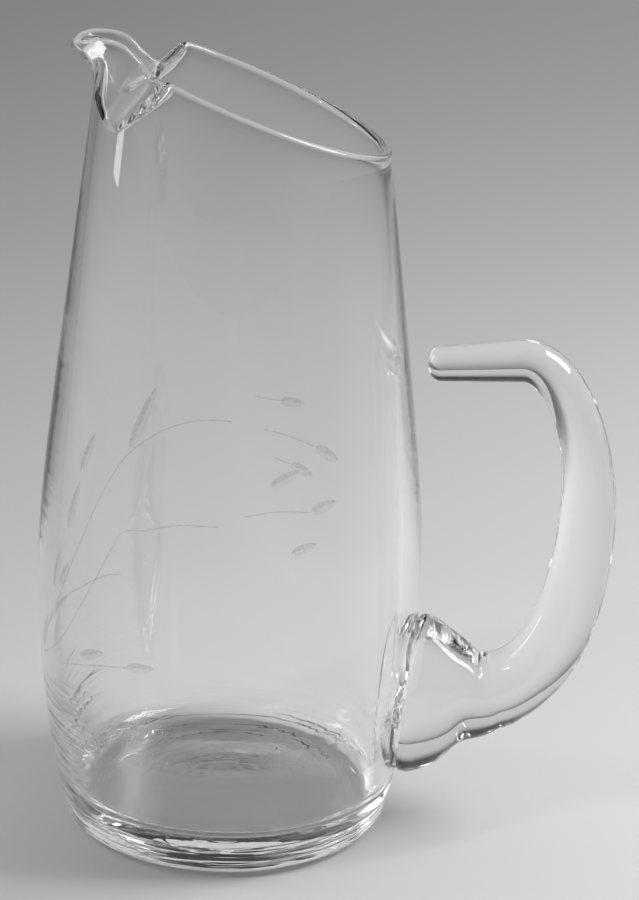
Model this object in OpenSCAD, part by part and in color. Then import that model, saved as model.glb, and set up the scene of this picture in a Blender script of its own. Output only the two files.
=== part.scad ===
/* [Body] */
// Radius of the belly at its widest
belly_r = 56; // [50:0.5:62]
// Height of the widest ring of the belly above the table
belly_z = 75; // [60:1:85]
// Radius that the side has where it runs into the foot
foot_side_r = 47.2; // [42:0.2:50]
// Height at which the upper taper begins
taper_z = 83; // [76:1:95]
// Length over which the belly bends into the taper
taper_ease = 20; // [10:1:40]
// Radius lost for each millimetre of height on the upper taper
taper_slope = 0.134; // [0.08:0.002:0.16]

/* [Foot and floor] */
// Outer radius of the flat ring that the pitcher stands on
foot_r = 40; // [36:0.5:42]
// Width of that flat ring
foot_ring_w = 6; // [3:0.5:9]
// Height of the rounding at the foot's edge
foot_round_h = 4; // [2:0.5:6]
// Rise of the hollow under the foot
punt_h = 1.8; // [0.8:0.1:3]
// Height of the inside floor above the table
floor_z = 12; // [9:0.5:18]
// Radius of the corner between floor and wall
floor_corner = 6; // [3:0.5:10]

/* [Wall] */
// Thickness of the wall from the belly down
belly_wall = 5.8; // [4:0.1:7]
// Thickness of the wall at the rim
rim_wall = 2.4; // [1.8:0.1:3]
// Extra thickness of the melted rim
rim_bead = 0.5; // [0.1:0.1:1]
// Length over which the rim swells to its bead
rim_bead_run = 3; // [1:0.5:6]

/* [Mouth] */
// Height of the rim on the pitcher's axis
rim_z = 218.3; // [205:0.1:235]
// Rise of the slanted rim for each millimetre towards the spout
rim_slope = 0.39; // [0.1:0.01:0.45]

/* [Pinched spout] */
// Angle from the spout at which the mouth's shoulders turn in
shoulder_angle = 65.5; // [60:0.5:74]
// Radius of the turn at each shoulder
shoulder_turn_r = 5; // [3:0.2:8]
// Radius that the turn at each shoulder widens to where it fades into the body
shoulder_low_r = 8; // [5:0.5:11]
// Distance of the throat, where the two folds come closest, from the pitcher's axis
throat_x = 23; // [18:0.5:25]
// Radius of the turn at the inner end of each fold
throat_turn_r = 5; // [4:0.2:6]
// Half width of the channel between the two folds
channel_half = 8.1; // [6:0.1:10]
// Length of the channel's rounded front, before it curls out
channel_front = 5; // [3:0.1:7]
// Depth below the rim over which the channel fades into the body
pinch_drop = 15; // [14:1:24]
// Depth below the rim over which the folds fade into the body next to the shoulders
shoulder_drop = 6; // [6:0.5:14]
// How far the rim sinks at the folds
throat_dip = 4.9; // [1:0.1:6]
// How far the lip curls out past the body's taper
lip_reach = 7.9; // [3:0.1:12]
// Depth below the rim over which the curl fades
lip_drop = 22; // [12:1:26]
// How far the lip's tip droops below the slanted rim
lip_droop = 6.1; // [2:0.1:10]

/* [Handle] */
// Distance of the grip's centre line from the pitcher's axis
grip_x = 103.9; // [96:0.1:112]
// Height at which the grip stands upright
grip_z = 100; // [92:1:108]
// Height of the arm's centre line at the elbow
arm_z = 143.6; // [138:0.2:150]
// Distance of the elbow's start from the pitcher's axis
elbow_x = 82; // [78:0.5:88]
// Drop of the arm from the elbow to its tip
arm_fall = 2; // [0:0.2:4]
// Clear distance between the arm's tip and the wall
tip_gap = 5; // [4.8:0.1:10]
// Radius of the cane at its tip
tip_r = 5.1; // [4:0.1:6]
// Length of the tip's rounded end
tip_round = 3.6; // [2:0.1:5]
// Radius of the cane along the arm
arm_r = 6.2; // [5:0.1:7]
// Radius of the cane at the grip
grip_r = 8.1; // [7:0.1:9.5]
// Radius of the cane where it leaves the root
root_r = 10.8; // [9.5:0.1:13]
// Distance of the root's end from the pitcher's axis
root_x = 79; // [76:0.5:84]
// Height of the root's end
root_z = 41.8; // [38:0.2:46]
// Height of the pad's centre on the wall
pad_z = 38.6; // [36:0.2:46]
// Half height of the pad on the wall
pad_half_h = 25; // [20:0.2:27]
// Half width of the pad on the wall
pad_half_w = 17; // [14:0.2:30]
// Thickness of the pad's rounded edge
pad_edge = 3.2; // [1.5:0.1:5]
// Clearance between the pad and the wall that it sits on
seat_gap = 0.1; // [0.08:0.01:0.3]

/* [Hidden] */

// Share of the taper that lies below the worked mouth, and the height at which the mouth is rooted
join_share = 0.83;
join_z = taper_z + join_share * (rim_z - taper_z);
// How deep the worked mouth is rooted in the turned wall, and how far its faces stand in from it there
join_lap = 1;
join_inset = 0.15;

// Powers that shape the side below the belly, the wall's growth, the lip's curl and its droop
side_power = 2.3;
wall_power = 1.5;
curl_power = 5;
droop_power = 2.2;
// Powers that shape the root's flare, the cane's growth round the elbow and the blunt end of the tip
flare_power = 1.25;
elbow_power = 2.6;
tip_blunt_power = 0.8;
// Powers that crowd the mouth's levels towards the rim and the root's rings towards the wall
level_power = 1.6;
root_ring_power = 1.5;

// Shares of half the spout's columns at which its front, channel, throat turn, fold and shoulder turn end
stop_shares = [0, 0.25, 0.43, 0.61, 0.86, 1];
// Shares of half the spout's columns over which the lip curls and droops
curl_end_share = 0.35;
droop_end_share = 0.27;
// Share of half the spout's columns that blunts the droop at its tip
droop_blunt_share = 0.02;
// Shares of half the spout's columns over which the rim sinks to the folds and climbs back
dip_start_share = 0.24;
dip_full_share = 0.64;
dip_fall_share = 0.54;
dip_end_share = 1;
// Share of its size that the pad loses at its rounded edge
edge_share = 0.07;
// Shares that place the pulls of the handle's curves between its named places
grip_straight_share = 0.476;
grip_sweep_share = 0.69;
root_lift_share = 0.3;
elbow_reach_share = 0.55;
elbow_rise_share = 0.5;

// Counts of facets
turn_sides = 96;
spout_columns = 28;
back_columns = 18;
mouth_levels = 16;
side_steps = 16;
rim_arc_steps = 4;
corner_steps = 6;
handle_sides = 28;
root_rings = 12;
grip_rings = 16;
elbow_rings = 12;
arm_rings = 3;
tip_rings = 5;
seat_rings = 6;
// Rounds in which a rim point's height settles
rim_rounds = 5;
// Small steps for slopes of the mouth's surface, in degrees and as a share of its height
slope_step_deg = 0.25;
slope_step_share = 0.004;

function mix(a, b, t) = a + (b - a) * t;
function clamp(t) = min(1, max(0, t));
function smooth(t) = let (c = clamp(t)) c * c * (3 - 2 * c);
function square_of(v) = v * v;
function unit(v) = v / norm(v);

// Outer radius of the body at a height
function outer_r(z) =
    z < belly_z
        ? belly_r - (belly_r - foot_side_r) * pow(1 - max(0, z) / belly_z, side_power)
        : belly_r - taper_slope
            * (sqrt(square_of(max(0, z - taper_z)) + square_of(taper_ease)) - taper_ease);

// Wall thickness at a height, thin at the rim and thick from the belly down
function wall(z) =
    mix(rim_wall, belly_wall, pow(clamp((rim_z - z) / (rim_z - belly_z)), wall_power));

function inner_r(z) = outer_r(z) - wall(z);
function mid_r(z) = outer_r(z) - wall(z) / 2;

// The worked mouth. A column's angle phi is counted from the spout, and its level runs from 0 at the
// mouth's root to 1 at the rim. Seen from above, half of the pinched rim is a rounded front, a straight
// channel, a turn at the throat, a straight fold and a turn at the shoulder into the round body.
function throat_centre() = [-throat_x - throat_turn_r, channel_half + throat_turn_r];
function shoulder_centre(r, turn_r) = (r - turn_r) * [-cos(shoulder_angle), sin(shoulder_angle)];

// Heading of the straight fold that touches both turns
function fold_heading(r, turn_r) =
    let (between = shoulder_centre(r, turn_r) - throat_centre())
    atan2(between[1], between[0]) + asin((throat_turn_r + turn_r) / norm(between));

function throat_turn(heading) = throat_centre() + throat_turn_r * [sin(heading), -cos(heading)];
function shoulder_turn(r, turn_r, heading) =
    shoulder_centre(r, turn_r) + turn_r * [-sin(heading), cos(heading)];
function front_turn(r, a) = [-r + channel_front * (1 - cos(a)), channel_half * sin(a)];

// Share of the way from one stop to the next
function along(q, stop) = (q - stop_shares[stop]) / (stop_shares[stop + 1] - stop_shares[stop]);

function pinched_half(q, r, turn_r) =
    let (heading = fold_heading(r, turn_r))
    q < stop_shares[1] ? front_turn(r, 90 * along(q, 0))
    : q < stop_shares[2] ? mix(front_turn(r, 90), throat_turn(0), along(q, 1))
    : q < stop_shares[3] ? throat_turn(heading * along(q, 2))
    : q < stop_shares[4]
        ? mix(throat_turn(heading), shoulder_turn(r, turn_r, heading), along(q, 3))
        : shoulder_turn(r, turn_r, mix(heading, 90 - shoulder_angle, along(q, 4)));

function spout_share(phi) = abs(phi) / shoulder_angle;
function round_plan(phi, r) = r * [-cos(phi), sin(phi)];
function pinched_plan(phi, r, turn_r) =
    spout_share(phi) < 1
        ? let (p = pinched_half(spout_share(phi), r, turn_r)) [p[0], sign(phi) * p[1]]
        : round_plan(phi, r);

// Shares of the lip's curl and droop, full at its tip
function curl_share(phi) = square_of(cos(90 * min(1, spout_share(phi) / curl_end_share)));
function droop_share(phi) =
    let (q = norm([spout_share(phi), droop_blunt_share]) - droop_blunt_share)
    pow(1 - min(1, q / droop_end_share), droop_power);

// Share of the rim's dip, greatest at the folds
function dip_share(phi) =
    let (
        q = spout_share(phi),
        sunk = smooth((q - dip_start_share) / (dip_full_share - dip_start_share)),
        back = smooth((q - dip_fall_share) / (dip_end_share - dip_fall_share))
    )
    sunk * (1 - back);

// The slanted rim's height follows its own place, so a few rounds settle it
function slant_z(x) = rim_z - rim_slope * x;
function rim_x(phi, z) =
    pinched_plan(phi, mid_r(z), shoulder_turn_r)[0] - lip_reach * curl_share(phi);
function slanted_rim(phi, z, rounds) =
    rounds < 1 ? z : slanted_rim(phi, slant_z(rim_x(phi, z)), rounds - 1);
function rim_top(phi) =
    slanted_rim(phi, rim_z, rim_rounds) - throat_dip * dip_share(phi) - lip_droop * droop_share(phi);

function level_z(phi, level) = mix(join_z - join_lap, rim_top(phi), level);

// Middle of the worked wall. The pinch fades lower down at the channel than next to the shoulders.
function mouth_point(phi, level) =
    let (
        z = level_z(phi, level),
        depth = rim_top(phi) - z,
        fold = (spout_share(phi) - stop_shares[2]) / (stop_shares[4] - stop_shares[2]),
        pinch = 1 - smooth(depth / mix(pinch_drop, shoulder_drop, clamp(fold))),
        turn_r = mix(shoulder_turn_r, shoulder_low_r, clamp(depth / shoulder_drop)),
        curl = pow(clamp(1 - depth / lip_drop), curl_power),
        plan = mix(round_plan(phi, mid_r(z)), pinched_plan(phi, mid_r(z), turn_r), pinch)
    )
    [plan[0] - lip_reach * curl * curl_share(phi), plan[1], z];

// Direction up the wall, and the direction square to it that points out
function mouth_up(phi, level) =
    unit(
        mouth_point(phi, min(1, level + slope_step_share))
        - mouth_point(phi, max(0, level - slope_step_share))
    );
function mouth_out(phi, level) =
    let (
        across = mouth_point(phi + slope_step_deg, level)
            - mouth_point(phi - slope_step_deg, level)
    )
    unit(cross(mouth_up(phi, level), across));

function half_wall(phi, level) =
    let (z = level_z(phi, level))
    (wall(z) + rim_bead * exp((z - rim_top(phi)) / rim_bead_run)) / 2
    - (level > 0 ? 0 : join_inset);

function mouth_skin(phi, level, side) =
    mouth_point(phi, level) + side * half_wall(phi, level) * mouth_out(phi, level);

function rim_arc_point(phi, turn) =
    mouth_point(phi, 1)
    + half_wall(phi, 1) * (cos(turn) * mouth_out(phi, 1) + sin(turn) * mouth_up(phi, 1));

// Levels crowd towards the rim, where the glass is worked most
function level_share(j) = 1 - pow(1 - j / mouth_levels, level_power);

// One closed section of the worked mouth: up the outside, over the rim and down the inside
function mouth_section(phi) =
    concat(
        [for (j = [0:mouth_levels]) mouth_skin(phi, level_share(j), 1)],
        [for (a = [1:rim_arc_steps - 1]) rim_arc_point(phi, 180 * a / rim_arc_steps)],
        [for (j = [mouth_levels:-1:0]) mouth_skin(phi, level_share(j), -1)]
    );

// Columns stand closer together round the spout than round the back
function column_phi(i) =
    let (
        half = spout_columns + back_columns,
        k = min(i, 2 * half - i)
    )
    (i <= half ? 1 : -1)
    * (
        k <= spout_columns
            ? k * shoulder_angle / spout_columns
            : mix(shoulder_angle, 180, (k - spout_columns) / back_columns)
    );

// Closes a ring of closed sections of equal count into one skin
function ring_faces(sections, points) =
    [
        for (i = [0:sections - 1], j = [0:points - 1], half = [0, 1])
            let (
                a = i * points + j,
                b = i * points + (j + 1) % points,
                c = (i + 1) % sections * points + (j + 1) % points,
                d = (i + 1) % sections * points + j
            )
            half == 0 ? [a, c, b] : [a, d, c]
    ];

module worked_mouth() {
    columns = 2 * (spout_columns + back_columns);
    sections = [for (i = [0:columns - 1]) mouth_section(column_phi(i))];
    polyhedron(
        points = [for (s = sections) each s],
        faces = ring_faces(columns, len(sections[0]))
    );
}

// Half section of the turned body, from the hollow under the foot round to the floor
function punt_arc() =
    [
        for (i = [0:corner_steps])
            let (t = i / corner_steps)
            [(foot_r - foot_ring_w) * t, punt_h * (1 - square_of(t))]
    ];
function foot_arc() =
    [
        for (i = [0:corner_steps])
            let (a = 90 * i / corner_steps)
            [
                foot_r + (outer_r(foot_round_h) - foot_r) * sin(a),
                foot_round_h * (1 - cos(a))
            ]
    ];
function outer_side() =
    [
        for (i = [1:side_steps])
            let (z = mix(foot_round_h, join_z, i / side_steps))
            [outer_r(z), z]
    ];
function inner_side() =
    [
        for (i = [side_steps:-1:0])
            let (z = mix(floor_z + floor_corner, join_z, i / side_steps))
            [inner_r(z), z]
    ];
function corner_arc() =
    [
        for (i = [1:corner_steps])
            let (a = 90 * i / corner_steps)
            [
                inner_r(floor_z + floor_corner) - floor_corner * (1 - cos(a)),
                floor_z + floor_corner * (1 - sin(a))
            ]
    ];

module turned_body() {
    rotate_extrude($fn = turn_sides)
        polygon(concat(punt_arc(), foot_arc(), outer_side(), inner_side(), corner_arc(), [[0, floor_z]]));
}

module vessel() {
    color([0.93, 0.95, 0.95, 0.4]) {
        turned_body();
        worked_mouth();
    }
}

// The handle's centre line lies in the plane of the spout: a root, a curved grip, an elbow and an arm.
function tip_x() = outer_r(arm_z - arm_fall) + tip_gap;
function grip_curve() =
    [
        [grip_x, grip_z],
        [grip_x, mix(grip_z, root_z, grip_straight_share)],
        [mix(root_x, grip_x, grip_sweep_share), root_z + root_lift_share * root_r],
        [root_x, root_z]
    ];
function elbow_curve() =
    [
        [elbow_x, arm_z],
        [mix(elbow_x, grip_x, elbow_reach_share), arm_z + arm_fall / 2],
        [grip_x, mix(grip_z, arm_z, elbow_rise_share)],
        [grip_x, grip_z]
    ];

function bezier(p, t) =
    pow(1 - t, 3) * p[0]
    + 3 * square_of(1 - t) * t * p[1]
    + 3 * (1 - t) * square_of(t) * p[2]
    + pow(t, 3) * p[3];
// Direction from the curve's end back to its start, in degrees
function back_heading(p, t) =
    let (
        v = square_of(1 - t) * (p[0] - p[1])
            + 2 * (1 - t) * t * (p[1] - p[2])
            + square_of(t) * (p[2] - p[3])
    )
    atan2(v[1], v[0]);

// A station holds the centre, the heading towards the tip, the half width, the half height and the share
// by which its section is bent to the wall
function root_station(i) =
    let (
        t = pow(i / root_rings, root_ring_power),
        seat = [outer_r(pad_z) + seat_gap, pad_z],
        flare = pow(cos(90 * t), flare_power),
        from_wall = t * (root_x - seat[0]),
        edge = 1 - edge_share * square_of(max(0, 1 - from_wall / pad_edge))
    )
    [
        mix(seat, [root_x, root_z], t),
        back_heading(grip_curve(), 1) * smooth(t),
        edge * mix(root_r, pad_half_w, flare),
        edge * mix(root_r, pad_half_h, flare),
        square_of(1 - t)
    ];
function grip_station(i) =
    let (t = 1 - i / grip_rings, r = mix(grip_r, root_r, t))
    [bezier(grip_curve(), t), back_heading(grip_curve(), t), r, r, 0];
function elbow_station(i) =
    let (t = 1 - i / elbow_rings, r = mix(arm_r, grip_r, pow(t, elbow_power)))
    [bezier(elbow_curve(), t), back_heading(elbow_curve(), t), r, r, 0];

function arm_length() = norm([elbow_x - tip_x(), arm_fall]);
function arm_point(t) = mix([elbow_x, arm_z], [tip_x(), arm_z - arm_fall], t);
function arm_heading() = 180 + atan2(arm_fall, elbow_x - tip_x());
function arm_station(i) =
    let (
        t = i / arm_rings * (1 - tip_round / arm_length()),
        r = mix(arm_r, tip_r, i / arm_rings)
    )
    [arm_point(t), arm_heading(), r, r, 0];
function tip_station(i) =
    let (
        a = 90 * i / tip_rings,
        t = 1 - tip_round / arm_length() * (1 - sin(a)),
        r = tip_r * pow(cos(a), tip_blunt_power)
    )
    [arm_point(t), arm_heading(), r, r, 0];

// Distance of the wall's face from the pitcher's middle plane at a side place and height
function wall_x(y, z) = sqrt(square_of(outer_r(z)) - square_of(y));

function section_point(s, a) =
    let (
        y = s[2] * cos(a),
        lift = s[3] * sin(a),
        x = s[0][0] - lift * sin(s[1]),
        z = s[0][1] + lift * cos(s[1])
    )
    [x + s[4] * (wall_x(y, z) - wall_x(0, s[0][1])), y, z];
function section(s) = [for (k = [0:handle_sides - 1]) section_point(s, 360 * k / handle_sides)];

// The seat on the wall, ring by ring from its centre
function seat_section(i) =
    let (s = root_station(0), q = i / seat_rings)
    section([s[0], s[1], q * s[2], q * s[3], 1]);

// Closes a run of sections with a point at each end into one skin
function tube_faces(sections, points) =
    let (last = sections * points + 1)
    concat(
        [for (k = [0:points - 1]) [0, 1 + k, 1 + (k + 1) % points]],
        [
            for (i = [0:sections - 2], k = [0:points - 1], half = [0, 1])
                let (
                    a = 1 + i * points + k,
                    b = 1 + i * points + (k + 1) % points
                )
                half == 0 ? [a, a + points, b + points] : [a, b + points, b]
        ],
        [
            for (k = [0:points - 1])
                [last, last - points + (k + 1) % points, last - points + k]
        ]
    );

module handle() {
    sections = concat(
        [for (i = [1:seat_rings - 1]) seat_section(i)],
        [for (i = [0:root_rings - 1]) section(root_station(i))],
        [for (i = [0:grip_rings - 1]) section(grip_station(i))],
        [for (i = [0:elbow_rings - 1]) section(elbow_station(i))],
        [for (i = [0:arm_rings - 1]) section(arm_station(i))],
        [for (i = [0:tip_rings - 1]) section(tip_station(i))]
    );
    seat_centre = root_station(0)[0];
    tip = arm_point(1);
    color([0.95, 0.97, 0.97, 0.4])
        polyhedron(
            points = concat(
                [[seat_centre[0], 0, seat_centre[1]]],
                [for (s = sections) each s],
                [[tip[0], 0, tip[1]]]
            ),
            faces = tube_faces(len(sections), handle_sides)
        );
}

vessel();
handle();
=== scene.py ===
import math

import bpy
import numpy as np
from mathutils import Matrix, Vector


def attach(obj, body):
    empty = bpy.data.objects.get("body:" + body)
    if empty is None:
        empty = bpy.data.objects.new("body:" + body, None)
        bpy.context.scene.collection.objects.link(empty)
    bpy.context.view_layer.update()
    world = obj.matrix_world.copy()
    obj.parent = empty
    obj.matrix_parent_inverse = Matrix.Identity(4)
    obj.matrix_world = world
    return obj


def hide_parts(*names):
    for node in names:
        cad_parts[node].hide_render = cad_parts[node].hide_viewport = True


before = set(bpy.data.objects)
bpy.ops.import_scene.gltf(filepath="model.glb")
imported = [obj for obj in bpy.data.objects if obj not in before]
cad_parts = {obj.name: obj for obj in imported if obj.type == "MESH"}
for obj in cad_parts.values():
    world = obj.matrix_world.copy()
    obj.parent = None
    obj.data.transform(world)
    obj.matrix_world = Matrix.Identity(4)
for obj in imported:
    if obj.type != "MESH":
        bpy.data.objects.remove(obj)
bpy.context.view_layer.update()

# Lengths below are in millimetres, as the glass is measured, and turned into metres where a mesh is made
METRES = 0.001

# Body, foot and floor
belly_r, belly_z, foot_side_r = 56, 75, 47.2
taper_z, taper_ease, taper_slope = 83, 20, 0.134
foot_r, foot_ring_w, foot_round_h = 40, 6, 4
punt_h, floor_z, floor_corner = 1.8, 12, 6
foot_lift = 0.15
side_power = 2.3

# Wall and rim
belly_wall, rim_wall, rim_bead, rim_bead_run = 5.8, 2.4, 0.5, 3
wall_power = 2.4
rim_z, rim_slope, side_lean = 218.3, 0.39, 0.017
mouth_root_z = 190

# Pinched spout
shoulder_angle, shoulder_turn_r = 65.5, 5
throat_x, throat_turn_r = 23, 5
channel_half, channel_front = 8.1, 5
pinch_drop, shoulder_drop, throat_dip = 15, 6, 4.9
lip_reach, lip_drop, lip_droop, curl_power = 7.9, 22, 6.1, 5
stop_shares = (0, 0.25, 0.43, 0.61, 0.86, 1)
curl_end_share = 0.35
droop_end_share, droop_power, droop_blunt_share = 0.27, 2.2, 0.02
dip_start_share, dip_full_share, dip_fall_share, dip_end_share = 0.24, 0.64, 0.54, 1
shoulder_low_r = 8
level_out_share = 0.25

# Handle
grip_x, grip_z, arm_z, elbow_x, arm_fall = 103.9, 100, 143.6, 82, 2
tip_gap, tip_r, tip_round, arm_r, grip_r = 5, 5.1, 3.6, 6.2, 8.1
root_r, root_x, root_z = 10.8, 79, 41.8
pad_z, pad_half_h, pad_half_w, pad_edge, seat_gap = 38.6, 25, 17, 3.2, 0.1
flare_power, elbow_power, tip_blunt_power, edge_share = 1.25, 2.6, 0.8, 0.07
grip_straight_share, grip_sweep_share, root_lift_share = 0.476, 0.69, 0.3
elbow_reach_share, elbow_rise_share = 0.55, 0.5
root_ease = 1.5

# Swells and dents of the root: how much, where along it and how far they reach, all as shares
heel_gain, heel_place, heel_reach = 0.19, 0.99, 0.13
notch_share, notch_place, notch_reach = 0.15, 0.68, 0.13
crease_share, crease_place, crease_reach = 0.1, 0.93, 0.05

# Counts for the glass skins
spout_columns, back_columns = 96, 60
hollow_rows, foot_rows, corner_rows, side_rows, mouth_rows, rim_rows = 20, 5, 12, 64, 56, 10
mouth_row_power, rim_rounds = 1.4, 6
handle_sides = 96
seat_rows, root_rows, grip_rows, elbow_rows, arm_rows, tip_rows = 14, 60, 80, 50, 12, 18


def mix(a, b, t):
    return a + (b - a) * t


def clamp(t):
    return np.clip(t, 0, 1)


def smooth(t):
    c = clamp(t)
    return c * c * (3 - 2 * c)


def sin_d(a):
    return np.sin(np.radians(a))


def cos_d(a):
    return np.cos(np.radians(a))


def unit(v):
    return v / np.linalg.norm(v, axis=-1, keepdims=True)


def plane_point(x, y):
    return np.stack(np.broadcast_arrays(x, y), -1)


# Body as turned

def outer_r(z):
    belly = belly_r - (belly_r - foot_side_r) * clamp(1 - np.maximum(0, z) / belly_z) ** side_power
    up = np.maximum(0, z - taper_z)
    taper = belly_r - taper_slope * (np.sqrt(up**2 + taper_ease**2) - taper_ease)
    return np.where(z < belly_z, belly, taper)


def wall(z):
    return mix(rim_wall, belly_wall, sin_d(90 * clamp((rim_z - z) / (rim_z - belly_z))) ** wall_power)


def inner_r(z):
    return outer_r(z) - wall(z)


def mid_r(z):
    return outer_r(z) - wall(z) / 2


# Mouth with its pinched spout; phi is the angle from the spout, in degrees

def throat_turn(heading):
    return plane_point(
        -throat_x - throat_turn_r + throat_turn_r * sin_d(heading),
        channel_half + throat_turn_r - throat_turn_r * cos_d(heading),
    )


def shoulder_turn(r, turn_r, heading):
    reach = r - turn_r
    return plane_point(
        -reach * cos_d(shoulder_angle) - turn_r * sin_d(heading),
        reach * sin_d(shoulder_angle) + turn_r * cos_d(heading),
    )


def fold_heading(r, turn_r):
    reach = r - turn_r
    x = -reach * cos_d(shoulder_angle) + throat_x + throat_turn_r
    y = reach * sin_d(shoulder_angle) - channel_half - throat_turn_r
    lean = np.arcsin((throat_turn_r + turn_r) / np.hypot(x, y))
    return np.degrees(np.arctan2(y, x) + lean)


def front_turn(r, a):
    return plane_point(-r + channel_front * (1 - cos_d(a)), channel_half * sin_d(a))


def along(q, stop):
    return (q - stop_shares[stop]) / (stop_shares[stop + 1] - stop_shares[stop])


def pinched_half(q, r, turn_r):
    """Half of the pinched plan, from the spout's front to the shoulder, at a share q of the way."""
    heading = fold_heading(r, turn_r)
    share = [along(q, stop)[..., None] for stop in range(len(stop_shares) - 1)]
    parts = [
        front_turn(r, 90 * share[0][..., 0]),
        mix(front_turn(r, 90), throat_turn(0), share[1]),
        throat_turn(heading * share[2][..., 0]),
        mix(throat_turn(heading), shoulder_turn(r, turn_r, heading), share[3]),
        shoulder_turn(r, turn_r, mix(heading, 90 - shoulder_angle, share[4][..., 0])),
    ]
    before = [(q < stop)[..., None] for stop in stop_shares[1:-1]]
    return np.select(before, parts[:-1], parts[-1])


def spout_share(phi):
    return np.abs(phi) / shoulder_angle


def round_plan(phi, r):
    return plane_point(-r * cos_d(phi), r * sin_d(phi))


def pinched_plan(phi, r, turn_r):
    q = spout_share(phi)
    half = pinched_half(np.minimum(q, 1), r, turn_r)
    pinched = np.stack([half[..., 0], np.sign(phi) * half[..., 1]], -1)
    return np.where((q < 1)[..., None], pinched, round_plan(phi, r))


def curl_share(phi):
    return cos_d(90 * np.minimum(1, spout_share(phi) / curl_end_share)) ** 2


def droop_share(phi):
    q = np.hypot(spout_share(phi), droop_blunt_share) - droop_blunt_share
    return (1 - np.minimum(1, q / droop_end_share)) ** droop_power


def dip_share(phi):
    q = spout_share(phi)
    rise = smooth((q - dip_start_share) / (dip_full_share - dip_start_share))
    return rise * (1 - smooth((q - dip_fall_share) / (dip_end_share - dip_fall_share)))


def rim_top(phi):
    z = np.full_like(phi, rim_z)
    for _ in range(rim_rounds):
        plan = pinched_plan(phi, mid_r(z), shoulder_turn_r)
        x = plan[..., 0] - lip_reach * curl_share(phi)
        z = rim_z - rim_slope * x - side_lean * plan[..., 1]
    return z - throat_dip * dip_share(phi) - lip_droop * droop_share(phi)


def wall_middle(phi, level):
    """Middle of the worked wall, at a level from 0 at the mouth's root to 1 at the rim."""
    z = mix(mouth_root_z, rim_top(phi), level)
    depth = rim_top(phi) - z
    fold = (spout_share(phi) - stop_shares[2]) / (stop_shares[4] - stop_shares[2])
    drop = mix(pinch_drop, shoulder_drop, clamp(fold))
    pinch = (1 - smooth(depth / drop))[..., None]
    curl = clamp(1 - depth / lip_drop) ** curl_power
    turn_r = mix(shoulder_turn_r, shoulder_low_r, clamp(depth / shoulder_drop))
    plan = mix(round_plan(phi, mid_r(z)), pinched_plan(phi, mid_r(z), turn_r), pinch)
    x = plan[..., 0] - lip_reach * curl * curl_share(phi)
    return np.stack([x, plan[..., 1], z], -1)


def wall_up(phi, level):
    step = 0.004
    return unit(wall_middle(phi, np.minimum(1, level + step)) - wall_middle(phi, np.maximum(0, level - step)))


def wall_out(phi, level):
    step = 0.25
    across = wall_middle(phi + step, level) - wall_middle(phi - step, level)
    out = unit(np.cross(wall_up(phi, level), across))
    level_out = np.stack([-cos_d(phi), sin_d(phi), 0 * phi], -1)
    return unit(mix(level_out, out, smooth(level / level_out_share)[..., None]))


def half_wall(phi, level):
    z = mix(mouth_root_z, rim_top(phi), level)
    return ((wall(z) + rim_bead * np.exp((z - rim_top(phi)) / rim_bead_run)) / 2)[..., None]


# Skins of the glass

def column_angles():
    near = np.linspace(0, shoulder_angle, spout_columns + 1)
    far = np.linspace(shoulder_angle, 180, back_columns + 1)[1:]
    half = np.concatenate([near, far])
    return np.concatenate([half, -half[-2:0:-1]])


def turned_row(phi, r, z):
    return np.stack([-r * cos_d(phi), r * sin_d(phi), np.full_like(phi, z)], -1)


def vessel_rows(phi):
    """Rows of points round the body, from the middle of the foot up the outside and down to the floor."""
    rows = []
    rest_r = foot_r - foot_ring_w / 2
    for t in np.linspace(0, 1, hollow_rows)[1:]:
        rows.append(turned_row(phi, rest_r * t, punt_h * (1 - t * t) ** 2))
    for t in np.linspace(0, 1, foot_rows)[1:]:
        rows.append(turned_row(phi, mix(rest_r, foot_r, t), foot_lift * t * t))
    for a in np.linspace(0, 90, corner_rows)[1:]:
        z = foot_lift + (foot_round_h - foot_lift) * (1 - cos_d(a))
        rows.append(turned_row(phi, foot_r + (outer_r(foot_round_h) - foot_r) * sin_d(a), z))
    for z in np.linspace(foot_round_h, mouth_root_z, side_rows)[1:-1]:
        rows.append(turned_row(phi, outer_r(z), z))
    levels = 1 - (1 - np.linspace(0, 1, mouth_rows)) ** mouth_row_power
    for level in levels:
        level = np.full_like(phi, level)
        rows.append(wall_middle(phi, level) + half_wall(phi, level) * wall_out(phi, level))
    top = np.ones_like(phi)
    for turn in np.linspace(0, 180, rim_rows + 1)[1:-1]:
        lean = cos_d(turn) * wall_out(phi, top) + sin_d(turn) * wall_up(phi, top)
        rows.append(wall_middle(phi, top) + half_wall(phi, top) * lean)
    for level in levels[::-1]:
        level = np.full_like(phi, level)
        rows.append(wall_middle(phi, level) - half_wall(phi, level) * wall_out(phi, level))
    low_z = floor_z + floor_corner
    for z in np.linspace(mouth_root_z, low_z, side_rows)[1:]:
        rows.append(turned_row(phi, inner_r(z), z))
    for a in np.linspace(0, 90, corner_rows)[1:]:
        r = inner_r(low_z) - floor_corner * (1 - cos_d(a))
        rows.append(turned_row(phi, r, low_z - floor_corner * sin_d(a)))
    edge_r = inner_r(low_z) - floor_corner
    for t in np.linspace(1, 0, corner_rows)[1:-1]:
        rows.append(turned_row(phi, edge_r * t, floor_z))
    return rows


def closed_skin(rows, first, last):
    """Points and faces of a skin through closed rows of equal count, with a point at each end."""
    count = len(rows[0])
    points = np.concatenate([[first], *rows, [last]])
    side = np.arange(count)
    after = (side + 1) % count
    faces = [(0, 1 + b, 1 + a) for a, b in zip(side, after)]
    for row in range(len(rows) - 1):
        low = 1 + row * count
        high = low + count
        faces += [(low + a, low + b, high + b, high + a) for a, b in zip(side, after)]
    end = len(points) - 1
    faces += [(end, end - count + a, end - count + b) for a, b in zip(side, after)]
    return points, faces


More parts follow.
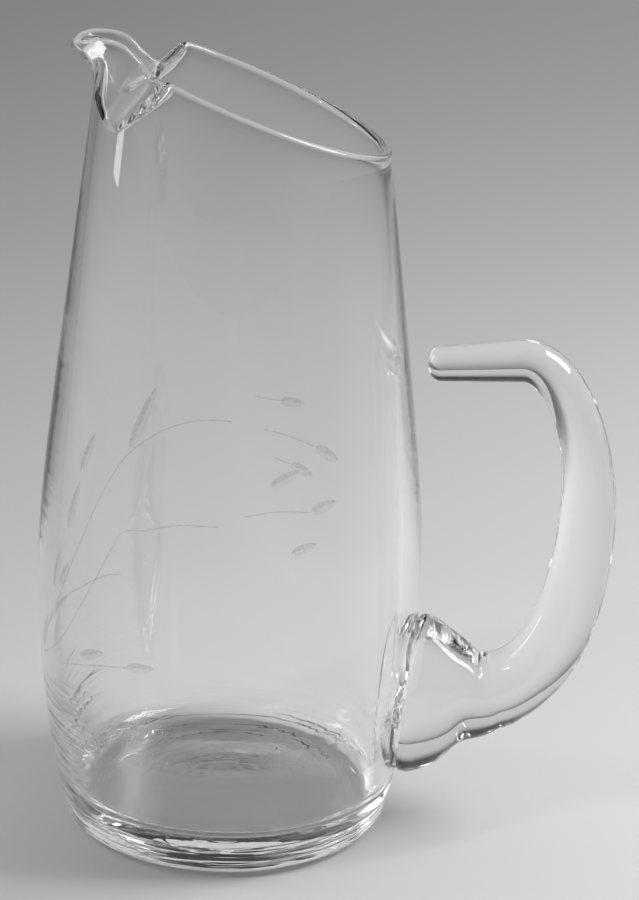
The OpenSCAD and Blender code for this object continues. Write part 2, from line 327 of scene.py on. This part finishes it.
def add_piece(name, points, faces, material):
    mesh = bpy.data.meshes.new(name)
    mesh.from_pydata((np.asarray(points) * METRES).tolist(), [], [tuple(map(int, f)) for f in faces])
    mesh.polygons.foreach_set("use_smooth", [True] * len(mesh.polygons))
    mesh.materials.append(material)
    piece = bpy.data.objects.new(name, mesh)
    bpy.context.scene.collection.objects.link(piece)
    return piece


def facing_out(points, faces):
    """True where the closed skin's faces turn outwards, by the sign of its volume."""
    corners = points[np.array([face[:3] for face in faces])]
    return np.einsum("ij,ij->i", corners[:, 0], np.cross(corners[:, 1], corners[:, 2])).sum() > 0


def add_glass(name, rows, first, last, material):
    """A closed piece of glass through the rows, with its faces turned outwards."""
    points, faces = closed_skin(rows, first, last)
    if not facing_out(points, faces):
        faces = [f[::-1] for f in faces]
    return add_piece(name, points, faces, material)


# Handle: stations with centre, heading, half width, half height and the share bent to the wall

def tip_x():
    return float(outer_r(arm_z - arm_fall)) + tip_gap


grip_curve = np.array([
    [grip_x, grip_z],
    [grip_x, mix(grip_z, root_z, grip_straight_share)],
    [mix(root_x, grip_x, grip_sweep_share), root_z + root_lift_share * root_r],
    [root_x, root_z],
])
elbow_curve = np.array([
    [elbow_x, arm_z],
    [mix(elbow_x, grip_x, elbow_reach_share), arm_z + arm_fall / 2],
    [grip_x, mix(grip_z, arm_z, elbow_rise_share)],
    [grip_x, grip_z],
])


def bezier(p, t):
    return (1 - t) ** 3 * p[0] + 3 * (1 - t) ** 2 * t * p[1] + 3 * (1 - t) * t**2 * p[2] + t**3 * p[3]


def back_heading(p, t):
    v = (1 - t) ** 2 * (p[0] - p[1]) + 2 * (1 - t) * t * (p[1] - p[2]) + t**2 * (p[2] - p[3])
    return math.degrees(math.atan2(v[1], v[0]))


def root_station(share):
    t = share**root_ease
    seat = np.array([float(outer_r(pad_z)) + seat_gap, pad_z])
    flare = cos_d(90 * t) ** flare_power
    from_wall = t * (root_x - seat[0])
    edge = 1 - edge_share * max(0, 1 - from_wall / pad_edge) ** 2
    return (
        mix(seat, np.array([root_x, root_z]), t),
        back_heading(grip_curve, 1) * smooth(t),
        edge * mix(root_r, pad_half_w, flare),
        edge * mix(root_r, pad_half_h, flare),
        (1 - t) ** 2,
    )


def grip_station(share):
    t = 1 - share
    r = mix(grip_r, root_r, t)
    return bezier(grip_curve, t), back_heading(grip_curve, t), r, r, 0


def elbow_station(share):
    t = 1 - share
    r = mix(arm_r, grip_r, t**elbow_power)
    return bezier(elbow_curve, t), back_heading(elbow_curve, t), r, r, 0


arm_start = np.array([elbow_x, arm_z])
arm_end = np.array([tip_x(), arm_z - arm_fall])
arm_length = float(np.linalg.norm(arm_start - arm_end))
arm_heading = 180 + math.degrees(math.atan2(arm_fall, elbow_x - tip_x()))


def arm_station(share):
    t = share * (1 - tip_round / arm_length)
    r = mix(arm_r, tip_r, share)
    return mix(arm_start, arm_end, t), arm_heading, r, r, 0


def tip_station(share):
    a = 90 * share
    t = 1 - tip_round / arm_length * (1 - sin_d(a))
    r = tip_r * cos_d(a) ** tip_blunt_power
    return mix(arm_start, arm_end, t), arm_heading, r, r, 0


def wall_x(y, z):
    return np.sqrt(outer_r(z) ** 2 - y**2)


def swell(place, middle, reach):
    return math.exp(-(((place - middle) / reach) ** 2))


def section(station, place=None):
    """One ring of the cane; place counts 0 to 1 along the root and on from 1 along the grip."""
    centre, heading, half_w, half_h, bent = station
    a = np.arange(handle_sides) * 360 / handle_sides
    y = half_w * cos_d(a)
    under = over = 0
    if place is not None:
        under = heel_gain * swell(place, heel_place, heel_reach)
        under -= notch_share * swell(place, notch_place, notch_reach)
        over = -crease_share * swell(place, crease_place, crease_reach)
    lift = half_h * sin_d(a) * np.where(sin_d(a) < 0, 1 + under, 1 + over)
    x = centre[0] - lift * sin_d(heading)
    z = centre[1] + lift * cos_d(heading)
    x = x + bent * (wall_x(y, z) - wall_x(0, centre[1]))
    return np.stack([x, y, z], -1)


def handle_rows():
    rows = []
    centre, heading, half_w, half_h, _ = root_station(0)
    for q in np.linspace(0, 1, seat_rows)[1:-1]:
        rows.append(section((centre, heading, q * half_w, q * half_h, 1)))
    rows += [section(root_station(i / root_rows), i / root_rows) for i in range(root_rows)]
    rows += [section(grip_station(i / grip_rows), 1 + i / grip_rows) for i in range(grip_rows)]
    rows += [section(elbow_station(i / elbow_rows)) for i in range(elbow_rows)]
    rows += [section(arm_station(i / arm_rows)) for i in range(arm_rows)]
    rows += [section(tip_station(i / tip_rows)) for i in range(tip_rows)]
    return rows


# Engraved sprigs on the side towards the camera: angle round from the spout in degrees, and height

cut_lift, degree_width, path_steps = 0.05, 0.95, 8
stem_half_w, leaf_half_share, leaf_half_most, leaf_power = 0.18, 0.17, 1.6, 0.8
stems = (
    (
        (19, 56), (25, 67), (34, 80), (43, 97), (50, 112),
        (58, 125), (66, 132), (74, 136.5), (83, 139), (92, 139),
    ),
    ((19, 56), (31, 63), (40, 73), (50, 88), (56, 99), (60, 105), (68, 107), (77, 109.5), (89, 110)),
    ((25, 67), (36, 79), (46, 86), (54, 91), (60, 93)),
    ((33, 58), (50, 63), (62, 65.5)),
    ((99, 146), (107, 144.5)),
    ((102, 137), (110, 134.5), (118, 131)),
    ((105, 129), (110, 127)),
    ((96, 113), (106, 114), (116, 113)),
)
leaves = (
    ((62, 65.5), (71, 67)), ((44, 64), (54, 68)), ((41, 118), (46, 130)), ((37, 100), (41, 115)),
    ((30, 80), (34, 94)), ((34, 82), (39, 91)), ((19, 58), (25, 70)), ((31, 73), (38, 80)),
    ((60, 128), (68, 147)), ((107, 144.5), (115, 143)), ((118, 131), (126, 126)), ((110, 127), (117, 123)),
    ((104, 121), (113, 125)), ((116, 113), (125, 115)), ((110, 102), (118, 104)),
)


def eased_path(stops):
    """A smooth path through the stops."""
    p = np.array([stops[0], *stops, stops[-1]], float)
    path = []
    for a, b, c, d in zip(p, p[1:], p[2:], p[3:]):
        bend = a - 2.5 * b + 2 * c - d / 2
        turn = 1.5 * (b - c + (d - a) / 3)
        for t in np.linspace(0, 1, path_steps, endpoint=False):
            path.append(b + (c - a) * t / 2 + bend * t**2 + turn * t**3)
    return np.array([*path, p[-1]])


def cut_strip(path, left, right):
    """Points and faces of a cut along a path, reaching a half width to each side."""
    run = np.gradient(path, axis=0) * [degree_width, 1]
    side = np.stack([-run[:, 1], run[:, 0]], -1) / np.linalg.norm(run, axis=1, keepdims=True)
    edges = [path + np.reshape(reach, (-1, 1)) * side / [degree_width, 1] for reach in (left, right)]
    flat = np.stack(edges, 1).reshape(-1, 2)
    r = outer_r(flat[:, 1]) + cut_lift
    points = np.stack([-r * cos_d(flat[:, 0]), -r * sin_d(flat[:, 0]), flat[:, 1]], -1)
    return points, [(i, i + 1, i + 3, i + 2) for i in range(0, len(points) - 2, 2)]


def make_sprigs(fine, deep):
    strips = []
    for stops in stems:
        path = eased_path(stops)
        reach = np.full(len(path), stem_half_w)
        strips.append((cut_strip(path, -reach, reach), 0))
    for stops in leaves:
        path = eased_path(stops)
        share = np.linspace(0, 1, len(path))
        half_w = min(leaf_half_most, math.dist(*stops) * leaf_half_share)
        reach = half_w * np.sin(np.pi * share**leaf_power) ** leaf_power
        strips += [(cut_strip(path, 0 * reach, reach), 0), (cut_strip(path, -reach, 0 * reach), 1)]
    points, faces, kinds = [], [], []
    for (strip_points, strip_faces), kind in strips:
        faces += [tuple(len(points) + i for i in face) for face in strip_faces]
        kinds += [kind] * len(strip_faces)
        points += list(strip_points)
    piece = add_piece("engraved_sprigs", points, faces, deep)
    piece.data.materials.append(fine)
    piece.data.polygons.foreach_set("material_index", kinds)
    return piece


# Nodes of the materials and the sky; a socket's value is a number, a colour or another node's socket

def fill(tree, socket, value):
    if isinstance(value, bpy.types.NodeSocket):
        tree.links.new(value, socket)
    else:
        socket.default_value = value


def set_in(tree, node, **values):
    for name, value in values.items():
        fill(tree, node.inputs[name.replace("_", " ")], value)
    return node


def add_node(tree, kind, **values):
    return set_in(tree, tree.nodes.new("ShaderNode" + kind), **values)


def calc(tree, operation, *values):
    """The result of one math node."""
    node = add_node(tree, "Math")
    node.operation = operation
    for socket, value in zip(node.inputs, values):
        fill(tree, socket, value)
    return node.outputs[0]


def squares_sum(tree, first, second):
    return calc(tree, "ADD", calc(tree, "MULTIPLY", first, first), calc(tree, "MULTIPLY", second, second))


def map_range(tree, value, smoothed=False, **ends):
    """A value that runs between two ends as another does, eased at both where smoothed."""
    node = add_node(tree, "MapRange", Value=value, **ends)
    node.interpolation_type = "SMOOTHSTEP" if smoothed else "LINEAR"
    return node.outputs["Result"]


def tone_ramp(tree, share, tones):
    """Grey tones by a share, each given with its place on the ramp."""
    ramp = add_node(tree, "ValToRGB", Fac=share)
    while len(ramp.color_ramp.elements) < len(tones):
        ramp.color_ramp.elements.new(1.0)
    for element, (position, tone) in zip(ramp.color_ramp.elements, tones):
        element.position = position
        element.color = (tone, tone, tone, 1)
    return ramp.outputs["Color"]


def own_place(tree):
    return add_node(tree, "TexCoord").outputs["Object"]


def axes(tree, place):
    return add_node(tree, "SeparateXYZ", Vector=place).outputs


def add_group(name, starts, result):
    """A node group with its float inputs and their starts, and one float result."""
    group = bpy.data.node_groups.new(name, "ShaderNodeTree")
    for start_name, start in starts:
        socket = group.interface.new_socket(name=start_name, in_out="INPUT", socket_type="NodeSocketFloat")
        socket.default_value = start
    group.interface.new_socket(name=result, in_out="OUTPUT", socket_type="NodeSocketFloat")
    return group, group.nodes.new("NodeGroupInput").outputs, group.nodes.new("NodeGroupOutput")


def group_result(tree, group):
    node = add_node(tree, "Group")
    node.node_tree = group
    return node.outputs[0]


def new_material(name):
    material = bpy.data.materials.new(name)
    material.use_nodes = True
    return material, material.node_tree, material.node_tree.nodes["Principled BSDF"]


# Materials; the lengths in them are in metres

glass_ior = 1.5
ring_waver, ring_mask_start, ring_mask_full = 22, -0.031, -0.05
wall_middle_slope, wall_middle_start = 0.108, 0.0462


def blown_rings():
    """Node group: the height of the fine rings that blowing and turning leave round the glass.

    They are strongest at the foot and on the spout's side, and fade up the wall and under the foot.
    """
    starts = (
        ("Ring Spacing", 0.003), ("Fade Start", 0.03), ("Fade End", 0.062), ("Rest", 0.03), ("Front", 0.06),
        ("Foot", 1.0), ("Foot Height", 0.011), ("Foot Radius", 0.036),
        ("Hollow", 0.12), ("Hollow Height", 0.0025),
    )
    group, given, output = add_group("blown rings", starts, "Height")
    x, y, z = axes(group, own_place(group))
    radius = calc(group, "SQRT", squares_sum(group, x, y))
    spot = add_node(
        group, "CombineXYZ",
        X=calc(group, "MULTIPLY", x, ring_waver),
        Y=calc(group, "MULTIPLY", y, ring_waver),
        Z=calc(group, "DIVIDE", calc(group, "ADD", radius, z), given["Ring Spacing"]),
    )
    rings = add_node(group, "TexNoise", Vector=spot.outputs[0], Scale=1, Detail=1.5)
    set_in(group, rings, Roughness=0.5, Distortion=0.3)
    fade = map_range(
        group, z, True,
        From_Min=given["Fade Start"], From_Max=given["Fade End"], To_Min=1, To_Max=given["Rest"],
    )
    side = map_range(
        group, x, True, From_Min=ring_mask_start, From_Max=ring_mask_full, To_Min=given["Front"], To_Max=1,
    )
    low = calc(group, "LESS_THAN", z, given["Foot Height"])
    out = calc(group, "GREATER_THAN", radius, given["Foot Radius"])
    foot = calc(group, "MULTIPLY", calc(group, "MULTIPLY", low, out), given["Foot"])
    under = calc(group, "LESS_THAN", z, given["Hollow Height"])
    hollow = calc(group, "MULTIPLY", calc(group, "SUBTRACT", under, out), given["Hollow"])
    skin = calc(group, "MAXIMUM", calc(group, "MAXIMUM", side, foot), hollow)
    strength = calc(group, "MULTIPLY", fade, skin)
    set_in(group, output, Height=calc(group, "MULTIPLY", rings.outputs["Fac"], strength))
    return group


def pad_weld():
    """Node group: 0 on the body's outside under the handle's pad, where the glass is one, and 1 elsewhere."""
    starts = (("Half Width", 0.0156), ("Half Height", 0.0231), ("Centre Height", 0.0386))
    group, given, output = add_group("pad weld", starts, "Alpha")
    x, y, z = axes(group, own_place(group))
    across = calc(group, "DIVIDE", y, given["Half Width"])
    up = calc(group, "DIVIDE", calc(group, "SUBTRACT", z, given["Centre Height"]), given["Half Height"])
    inside = calc(group, "LESS_THAN", squares_sum(group, across, up), 1)
    radius = calc(group, "SQRT", squares_sum(group, x, y))
    middle = calc(group, "ADD", calc(group, "MULTIPLY", z, wall_middle_slope), wall_middle_start)
    outer = calc(group, "GREATER_THAN", radius, middle)
    near = calc(group, "GREATER_THAN", x, 0)
    weld = calc(group, "MULTIPLY", calc(group, "MULTIPLY", inside, outer), near)
    set_in(group, output, Alpha=calc(group, "SUBTRACT", 1, weld))
    return group


def new_glass(name):
    material, tree, shader = new_material(name)
    set_in(tree, shader, Base_Color=(1, 1, 1, 1), Roughness=0.0, IOR=glass_ior, Transmission_Weight=1.0)
    return material, tree, shader


def cane_glass():
    material, tree, shader = new_glass("cane glass")
    dents = add_node(tree, "TexNoise", Vector=own_place(tree), Scale=60, Detail=1, Roughness=0.4)
    bump = add_node(tree, "Bump", Strength=1.0, Distance=0.00022, Height=dents.outputs["Fac"])
    set_in(tree, shader, Normal=bump.outputs["Normal"])
    return material


def clear_glass():
    material, tree, shader = new_glass("clear glass")
    bump = add_node(tree, "Bump", Strength=1.0, Distance=0.001, Height=group_result(tree, blown_rings()))
    set_in(tree, shader, Normal=bump.outputs["Normal"], Alpha=group_result(tree, pad_weld()))
    return material


def frosted_cut(name, tone, least, most):
    """A veil of fine wheel marks on the glass, between two strengths."""
    material, tree, shader = new_material(name)
    marks = add_node(tree, "TexNoise", Vector=own_place(tree), Scale=1400, Detail=1, Roughness=0.5)
    depth = map_range(tree, marks.outputs["Fac"], From_Min=0.35, From_Max=0.65, To_Min=least, To_Max=most)
    set_in(tree, shader, Base_Color=(tone, tone, tone, 1), Roughness=0.6, Alpha=depth)
    return material


def fused_seat():
    material, tree, shader = new_material("fused seat")
    set_in(tree, shader, IOR=glass_ior, Transmission_Weight=1.0, Alpha=0.0)
    return material


def make_vessel(glass):
    rows = vessel_rows(column_angles())
    piece = add_glass("blown_body", rows, [0, 0, punt_h], [0, 0, floor_z], glass)
    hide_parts("vessel")
    return piece


def make_handle(glass):
    centre = root_station(0)[0]
    ends = [centre[0], 0, centre[1]], [arm_end[0], 0, arm_end[1]]
    piece = add_glass("cane_handle", handle_rows(), *ends, glass)
    piece.data.materials.append(fused_seat())
    for polygon in piece.data.polygons[: handle_sides * (seat_rows - 1)]:
        polygon.material_index = 1
        polygon.use_smooth = False
    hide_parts("handle")
    return piece


# Camera, as the photograph was taken

camera_place = (31.53, -720.51, 361.05)
camera_yaw, camera_pitch, camera_roll = -0.507, 18.891, 1.825
camera_lens = 105.26


def make_camera():
    yaw, pitch, roll = map(math.radians, (camera_yaw, camera_pitch, camera_roll))
    ahead = Vector((math.sin(yaw) * math.cos(pitch), math.cos(yaw) * math.cos(pitch), -math.sin(pitch)))
    right = Vector((math.cos(yaw), -math.sin(yaw), 0))
    up = right.cross(ahead)
    tilted_right = math.cos(roll) * right + math.sin(roll) * up
    tilted_up = math.cos(roll) * up - math.sin(roll) * right
    place = Vector(camera_place) * METRES
    data = bpy.data.cameras.new("camera")
    data.sensor_width = 36
    data.lens = camera_lens
    data.clip_start = 0.01
    camera = bpy.data.objects.new("camera", data)
    bpy.context.scene.collection.objects.link(camera)
    columns = [tilted_right, tilted_up, -ahead, place]
    camera.matrix_world = Matrix([[c[i] for c in columns] for i in range(3)] + [[0, 0, 0, 1]])
    bpy.context.scene.camera = camera


# Paper on the table: its reach in metres, and its tones by share of the way back to its far end, a painted
# falloff of the light that darkens the paper towards the back

floor_far, floor_reach = 4.0, 8.0
# Reach and strength of the painted light that makes the paper lighter towards the right
floor_side, painted_side_light_gain = 0.4, 0.22
# Reach and strength of the painted pool of light on the paper under the foot
painted_pool_full, painted_pool_end, painted_pool_gain = 0.036, 0.047, 1.4
shade_start, shade_full, shade_gain = 0.25, 0.52, 0.5
painted_falloff_tones = (
    (0.0, 0.665), (0.025, 0.62), (0.05, 0.575), (0.0875, 0.55), (0.175, 0.515), (0.4, 0.5), (1.0, 0.5),
)


def floor_material():
    material, tree, shader = new_material("pale paper")
    place = own_place(tree)
    x, y, _ = axes(tree, place)
    # Painted shade: the paper's tone darkens towards the back, as the light falls off
    ramp = tone_ramp(tree, map_range(tree, y, From_Min=0.0, From_Max=floor_far), painted_falloff_tones)
    # Painted light: the paper is lighter towards the right, as lit from that side
    across = map_range(
        tree, x, From_Min=-floor_side, From_Max=floor_side,
        To_Min=1 - painted_side_light_gain, To_Max=1 + painted_side_light_gain,
    )
    # Painted pool of light: the thick foot gathers light on the paper under it, and the paper is painted
    # lighter there
    away = add_node(tree, "VectorMath")
    away.operation = "LENGTH"
    fill(tree, away.inputs[0], place)
    painted_pool = map_range(
        tree, away.outputs["Value"], True,
        From_Min=painted_pool_full, From_Max=painted_pool_end, To_Min=painted_pool_gain, To_Max=1.0,
    )
    # Under the right window the paper is darker, so that it doesn't clip
    shade = map_range(
        tree, x, True, From_Min=shade_start, From_Max=shade_full, To_Min=1.0, To_Max=shade_gain,
    )
    gain = calc(tree, "MULTIPLY", calc(tree, "MULTIPLY", across, shade), painted_pool)
    tone = add_node(tree, "VectorMath")
    tone.operation = "SCALE"
    fill(tree, tone.inputs[0], ramp)
    set_in(tree, tone, Scale=gain)
    set_in(tree, shader, Base_Color=tone.outputs["Vector"], Roughness=0.9, Specular_IOR_Level=0.1)
    return material


def make_floor():
    mesh = bpy.data.meshes.new("floor")
    corners = [(x * floor_reach, y * floor_reach, 0) for x, y in ((-1, -1), (1, -1), (1, 1), (-1, 1))]
    mesh.from_pydata(corners, [], [(0, 1, 2, 3)])
    mesh.materials.append(floor_material())
    floor = bpy.data.objects.new("floor", mesh)
    bpy.context.scene.collection.objects.link(floor)


# Sky and windows; the dark front and ceiling of the room are seen only in and through the glass

lit_tones = ((0.0, 0.5), (0.15, 0.5), (0.6, 0.6))
seen_tones = ((0.0, 0.55), (0.2, 0.5), (0.38, 0.04), (1.0, 0.02))
front_start, front_end, front_least = -1.0, 0.1, 0.05
lamp_aim = (0, 0, 0.1)
light_turns = 32

# Places of a mix node's colour sockets
mix_first, mix_second, mix_result = 6, 7, 2


def make_world():
    world = bpy.data.worlds.new("studio")
    bpy.context.scene.world = world
    world.use_nodes = True
    tree = world.node_tree
    _, y, z = axes(tree, add_node(tree, "TexCoord").outputs["Generated"])
    path = add_node(tree, "LightPath").outputs
    through = calc(tree, "MAXIMUM", path["Is Glossy Ray"], path["Is Transmission Ray"])
    direct = calc(tree, "LESS_THAN", path["Diffuse Depth"], 0.5)
    dome = add_node(tree, "Mix")
    dome.data_type = "RGBA"
    set_in(tree, dome, Factor=calc(tree, "MULTIPLY", through, direct))
    fill(tree, dome.inputs[mix_first], tone_ramp(tree, z, lit_tones))
    fill(tree, dome.inputs[mix_second], tone_ramp(tree, z, seen_tones))
    front = map_range(tree, y, From_Min=front_start, From_Max=front_end, To_Min=front_least, To_Max=1.0)
    set_in(tree, tree.nodes["Background"], Color=dome.outputs[mix_result], Strength=front)


def add_lamp(name, place, size, power):
    data = bpy.data.lights.new(name, "AREA")
    data.shape = "RECTANGLE"
    data.size, data.size_y = size
    data.energy = power
    lamp = bpy.data.objects.new(name, data)
    bpy.context.scene.collection.objects.link(lamp)
    lamp.location = place
    aim = Vector(lamp_aim) - Vector(place)
    lamp.rotation_euler = aim.to_track_quat("-Z", "Y").to_euler()
    return lamp


make_camera()
make_floor()
make_world()
# Place and size in metres, power in watts
add_lamp("left window", (-0.6, -0.5, 1.0), (0.025, 0.35), 1.2)
add_lamp("right window", (0.75, 0.05, 0.75), (0.5, 0.5), 7.4)
add_lamp("low window", (-0.8, 0.15, 0.35), (0.12, 0.5), 0.9).visible_glossy = False

sprigs = make_sprigs(frosted_cut("fine cut", 0.3, 0.06, 0.14), frosted_cut("deep cut", 0.2, 0.14, 0.3))
for piece in (make_vessel(clear_glass()), make_handle(cane_glass()), sprigs):
    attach(piece, "root")

bpy.context.scene.view_settings.view_transform = "Standard"
# Light turns many times inside the wall at the body's edges before it leaves
cycles = bpy.context.scene.cycles
cycles.max_bounces = cycles.glossy_bounces = cycles.transmission_bounces = light_turns
